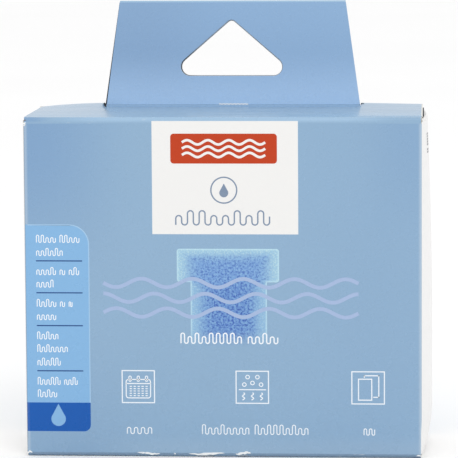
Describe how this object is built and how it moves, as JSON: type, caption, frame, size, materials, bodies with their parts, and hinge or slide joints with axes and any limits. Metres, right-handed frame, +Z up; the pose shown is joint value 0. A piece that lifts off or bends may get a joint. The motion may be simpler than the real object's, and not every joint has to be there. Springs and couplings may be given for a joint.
{
  "type": "boxed filter sponge",
  "caption": "T-shaped block of blue open-cell filter foam in a flat tuck-end paperboard carton with a doubled hang tab and triangular hang hole.",
  "frame": {"origin": "middle of the carton's footprint, on the surface it stands on", "axes": "+Z up through the hang tab, -Y out of the printed front, +X to the right as seen from the front"},
  "size_m": [0.12, 0.04, 0.136],
  "materials": {
    "printed_board": "satin",
    "white_board": "satin",
    "raw_board": "matte",
    "adhesive": "matte",
    "foam": "matte"
  },
  "bodies": {
    "carton": {"front_panel": "printed_board", "back_panel": "printed_board", "left_side_panel": "white_board", "right_side_panel": "white_board", "glue_flap": "raw_board", "seam_adhesive": "adhesive"},
    "lid": {"lid_panel": "printed_board"},
    "tab": {"tab_front_ply": "printed_board", "tab_rear_ply": "printed_board", "tab_adhesive_left": "adhesive", "tab_adhesive_right": "adhesive"},
    "top_tuck": {"top_tuck_flap": "printed_board"},
    "top_dust_left": {"top_dust_flap_left": "white_board"},
    "top_dust_right": {"top_dust_flap_right": "white_board"},
    "bottom": {"bottom_panel": "printed_board"},
    "bottom_tuck": {"bottom_tuck_flap": "printed_board"},
    "bottom_dust_left": {"bottom_dust_flap_left": "white_board"},
    "bottom_dust_right": {"bottom_dust_flap_right": "white_board"},
    "sponge": {"foam_block": "foam"}
  },
  "joints": [
    {"name": "lid_hinge", "type": "hinge", "parent": "carton", "child": "lid", "pos_m": [0, -0.02, 0.103], "axis": [1, 0, 0], "range_deg": [0, 180]},
    {"name": "tab_fold", "type": "hinge", "parent": "lid", "child": "tab", "pos_m": [0, 0.01816, 0.10354], "axis": [1, 0, 0], "range_deg": [-80, 80]},
    {"name": "top_tuck_fold", "type": "hinge", "parent": "lid", "child": "top_tuck", "pos_m": [0, 0.01845, 0.10195], "axis": [1, 0, 0], "range_deg": [-90, 0]},
    {"name": "top_dust_left_fold", "type": "hinge", "parent": "carton", "child": "top_dust_left", "pos_m": [-0.06, 0, 0.1022], "axis": [0, -1, 0], "range_deg": [0, 90]},
    {"name": "top_dust_right_fold", "type": "hinge", "parent": "carton", "child": "top_dust_right", "pos_m": [0.06, 0, 0.1022], "axis": [0, 1, 0], "range_deg": [0, 90]},
    {"name": "bottom_hinge", "type": "hinge", "parent": "carton", "child": "bottom", "pos_m": [0, -0.02, 0], "axis": [-1, 0, 0], "range_deg": [0, 180]},
    {"name": "bottom_tuck_fold", "type": "hinge", "parent": "bottom", "child": "bottom_tuck", "pos_m": [0, 0.01845, 0.00105], "axis": [-1, 0, 0], "range_deg": [-90, 0]},
    {"name": "bottom_dust_left_fold", "type": "hinge", "parent": "carton", "child": "bottom_dust_left", "pos_m": [-0.06, 0, 0.0008], "axis": [0, 1, 0], "range_deg": [0, 90]},
    {"name": "bottom_dust_right_fold", "type": "hinge", "parent": "carton", "child": "bottom_dust_right", "pos_m": [0.06, 0, 0.0008], "axis": [0, -1, 0], "range_deg": [0, 90]},
    {"name": "sponge_lift", "type": "slide", "parent": "carton", "child": "sponge", "axis": [0, 0, 1], "range_m": [0, 0.002]}
  ],
  "couplings": [
    {"joint": "top_tuck_fold", "follows": "lid_hinge", "ratio": -0.5},
    {"joint": "top_dust_left_fold", "follows": "lid_hinge", "ratio": 0.5},
    {"joint": "top_dust_right_fold", "follows": "lid_hinge", "ratio": 0.5},
    {"joint": "bottom_tuck_fold", "follows": "bottom_hinge", "ratio": -0.5},
    {"joint": "bottom_dust_left_fold", "follows": "bottom_hinge", "ratio": 0.5},
    {"joint": "bottom_dust_right_fold", "follows": "bottom_hinge", "ratio": 0.5}
  ]
}
